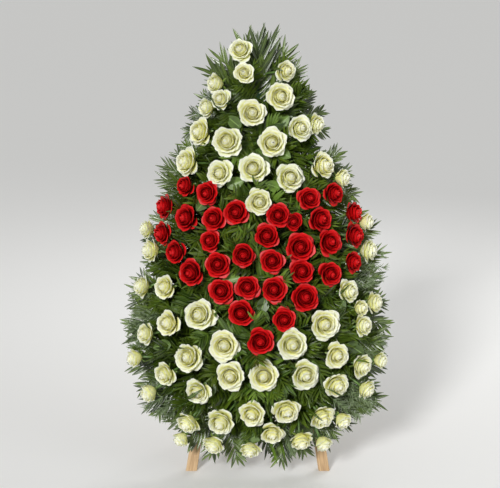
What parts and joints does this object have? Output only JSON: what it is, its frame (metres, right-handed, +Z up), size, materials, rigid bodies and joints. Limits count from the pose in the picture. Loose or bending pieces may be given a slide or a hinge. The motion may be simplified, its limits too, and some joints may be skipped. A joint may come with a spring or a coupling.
{
  "type": "funeral wreath",
  "caption": "Standing funeral wreath of white roses with a red rose heart, palm fronds round its tear-shaped base, leaning on a three-legged wooden easel.",
  "frame": {"origin": "on the ground under the middle of the whole object's box", "axes": "+Z up, the blooms face -Y and lean back towards +Y, +X to the viewer's right"},
  "size_m": [0.6818, 0.6964, 1.1041],
  "materials": {
    "petal_white": "soft matt petal, ivory with a pale yellow heart",
    "petal_red": "velvety scarlet petal with dark folds",
    "palm_leaf": "slightly glossy dark green leaf",
    "spray_leaf": "slightly glossy dark green leaf",
    "foam": "fine matt open foam, wet green",
    "plywood": "raw sanded plywood",
    "easel_wood": "raw planed softwood"
  },
  "bodies": {
    "root": {"block_top": "easel_wood", "board_back": "plywood", "brace_rear": "easel_wood", "foam_block": "foam", "greens_spray_01": "spray_leaf", "greens_spray_02": "spray_leaf", "greens_spray_03": "spray_leaf", "greens_spray_04": "spray_leaf", "greens_spray_05": "spray_leaf", "greens_spray_06": "spray_leaf", "greens_spray_07": "spray_leaf", "greens_spray_08": "spray_leaf", "leg_front_left": "easel_wood", "leg_front_right": "easel_wood", "leg_rear": "easel_wood", "palm_fronds_01": "palm_leaf", "palm_fronds_02": "palm_leaf", "palm_fronds_03": "palm_leaf", "palm_fronds_04": "palm_leaf", "palm_fronds_05": "palm_leaf", "palm_fronds_06": "palm_leaf", "palm_fronds_07": "palm_leaf", "palm_fronds_08": "palm_leaf", "palm_fronds_09": "palm_leaf", "palm_fronds_10": "palm_leaf", "palm_fronds_11": "palm_leaf", "palm_fronds_12": "palm_leaf", "palm_fronds_13": "palm_leaf", "rail_cross": "easel_wood", "roses_red_01": "petal_red", "roses_red_02": "petal_red", "roses_red_03": "petal_red", "roses_red_04": "petal_red", "roses_red_05": "petal_red", "roses_red_06": "petal_red", "roses_red_07": "petal_red", "roses_red_08": "petal_red", "roses_red_09": "petal_red", "roses_red_10": "petal_red", "roses_red_11": "petal_red", "roses_white_01": "petal_white", "roses_white_02": "petal_white", "roses_white_03": "petal_white", "roses_white_04": "petal_white", "roses_white_05": "petal_white", "roses_white_06": "petal_white", "roses_white_07": "petal_white", "roses_white_08": "petal_white", "roses_white_09": "petal_white", "roses_white_10": "petal_white", "roses_white_11": "petal_white", "roses_white_12": "petal_white", "roses_white_13": "petal_white", "roses_white_14": "petal_white", "roses_white_15": "petal_white", "roses_white_16": "petal_white", "roses_white_17": "petal_white", "roses_white_18": "petal_white", "roses_white_19": "petal_white"}
  },
  "joints": []
}
